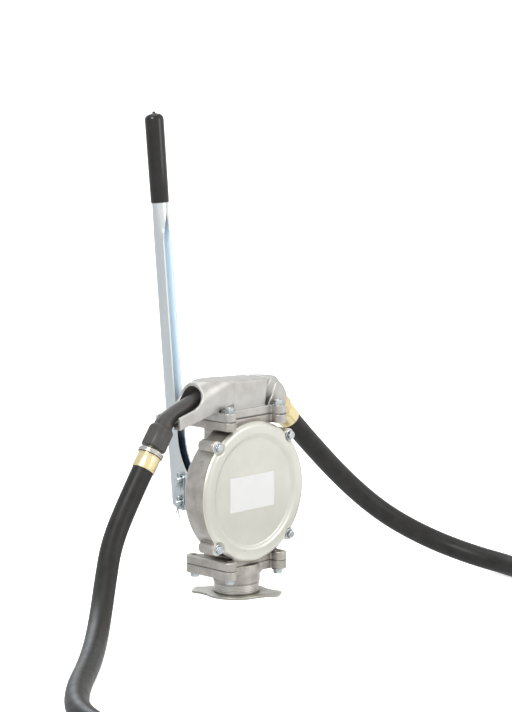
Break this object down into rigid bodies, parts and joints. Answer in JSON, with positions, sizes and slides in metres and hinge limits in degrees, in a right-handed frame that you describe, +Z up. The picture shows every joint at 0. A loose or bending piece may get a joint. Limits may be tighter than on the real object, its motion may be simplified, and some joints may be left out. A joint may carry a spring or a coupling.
{
  "type": "drum pump",
  "caption": "Double-acting lever hand pump for a drum: round cast body with a stamped cover, top manifold with a nozzle holster, tall channel lever, wing collar, rubber hose and nozzle.",
  "frame": {"origin": "centre of the neck's lower face, on the plane the pump stands on", "axes": "+Z up along the neck, -Y towards the front cover, +Y towards the lever, -X towards the nozzle holster, +X towards the outlet"},
  "size_m": [0.9459, 0.8959, 0.6435],
  "materials": {
    "cast_aluminium": "as-cast satin",
    "body_cast": "rough as-cast",
    "collar_metal": "satin",
    "cover_plate": "cream zinc plating",
    "blank_label": "matte",
    "zinc_hardware": "bright zinc",
    "seat_steel": "satin",
    "gasket_rubber": "matte",
    "valve_rubber": "matte",
    "bronze": "satin",
    "rod_steel": "polished",
    "lever_steel": "bluish zinc plating",
    "grip_vinyl": "glossy dip",
    "brass_fitting": "polished",
    "brass_ferrule": "polished",
    "hose_rubber": "satin",
    "nozzle_steel": "satin",
    "nozzle_plastic": "satin"
  },
  "bodies": {
    "pump": {"body_casting": "body_cast", "bracket_screws": "zinc_hardware", "cover_gasket": "gasket_rubber", "cover_label": "blank_label", "cover_screws": "zinc_hardware", "front_cover": "cover_plate", "fulcrum_bracket": "body_cast", "fulcrum_cotter": "zinc_hardware", "fulcrum_pin": "zinc_hardware", "hose": "hose_rubber", "inlet_casting": "cast_aluminium", "inlet_gasket": "gasket_rubber", "inlet_screws": "zinc_hardware", "inlet_valve_seat": "seat_steel", "manifold_gasket": "gasket_rubber", "manifold_screws": "zinc_hardware", "nozzle_ferrule": "brass_ferrule", "nozzle_ring": "nozzle_steel", "nozzle_spout": "nozzle_plastic", "outlet_ferrule": "brass_ferrule", "outlet_fitting": "brass_fitting", "outlet_manifold": "cast_aluminium", "outlet_valve_seat": "seat_steel", "rod_bushing": "bronze", "rod_seal": "valve_rubber", "seal_retainer": "zinc_hardware"},
    "plunger": {"plunger_rod": "rod_steel", "piston_plate_front": "zinc_hardware", "piston_cup": "valve_rubber", "piston_plate_rear": "zinc_hardware", "rod_nut": "zinc_hardware"},
    "lever": {"lever_arm": "lever_steel", "lever_grip": "grip_vinyl", "pivot_straps": "zinc_hardware", "rod_pin": "zinc_hardware", "rod_cotter": "zinc_hardware"},
    "collar": {"wing_collar": "collar_metal"},
    "inlet_flap_front": {"inlet_valve_front": "valve_rubber"},
    "inlet_flap_rear": {"inlet_valve_rear": "valve_rubber"},
    "outlet_flap_front": {"outlet_valve_front": "valve_rubber"},
    "outlet_flap_rear": {"outlet_valve_rear": "valve_rubber"}
  },
  "joints": [
    {"name": "lever_swing", "type": "hinge", "parent": "pump", "child": "lever", "pos_m": [0, 0.098, 0.112], "axis": [1, 0, 0], "range_deg": [-20, 20]},
    {"name": "plunger_slide", "type": "slide", "parent": "pump", "child": "plunger", "axis": [0, -1, 0], "range_m": [-0.0116, 0.0116]},
    {"name": "collar_turn", "type": "hinge", "parent": "pump", "child": "collar", "pos_m": [0, 0, 0.0016], "axis": [0, 0, 1], "continuous": true},
    {"name": "inlet_flap_front_lift", "type": "slide", "parent": "pump", "child": "inlet_flap_front", "axis": [0, 0, 1], "range_m": [0, 0.004]},
    {"name": "inlet_flap_rear_lift", "type": "slide", "parent": "pump", "child": "inlet_flap_rear", "axis": [0, 0, 1], "range_m": [0, 0.004]},
    {"name": "outlet_flap_front_lift", "type": "slide", "parent": "pump", "child": "outlet_flap_front", "axis": [0, 0, 1], "range_m": [0, 0.004]},
    {"name": "outlet_flap_rear_lift", "type": "slide", "parent": "pump", "child": "outlet_flap_rear", "axis": [0, 0, 1], "range_m": [0, 0.004]}
  ],
  "couplings": [
    {"joint": "plunger_slide", "follows": "lever_swing", "m_per_rad": 0.032}
  ]
}
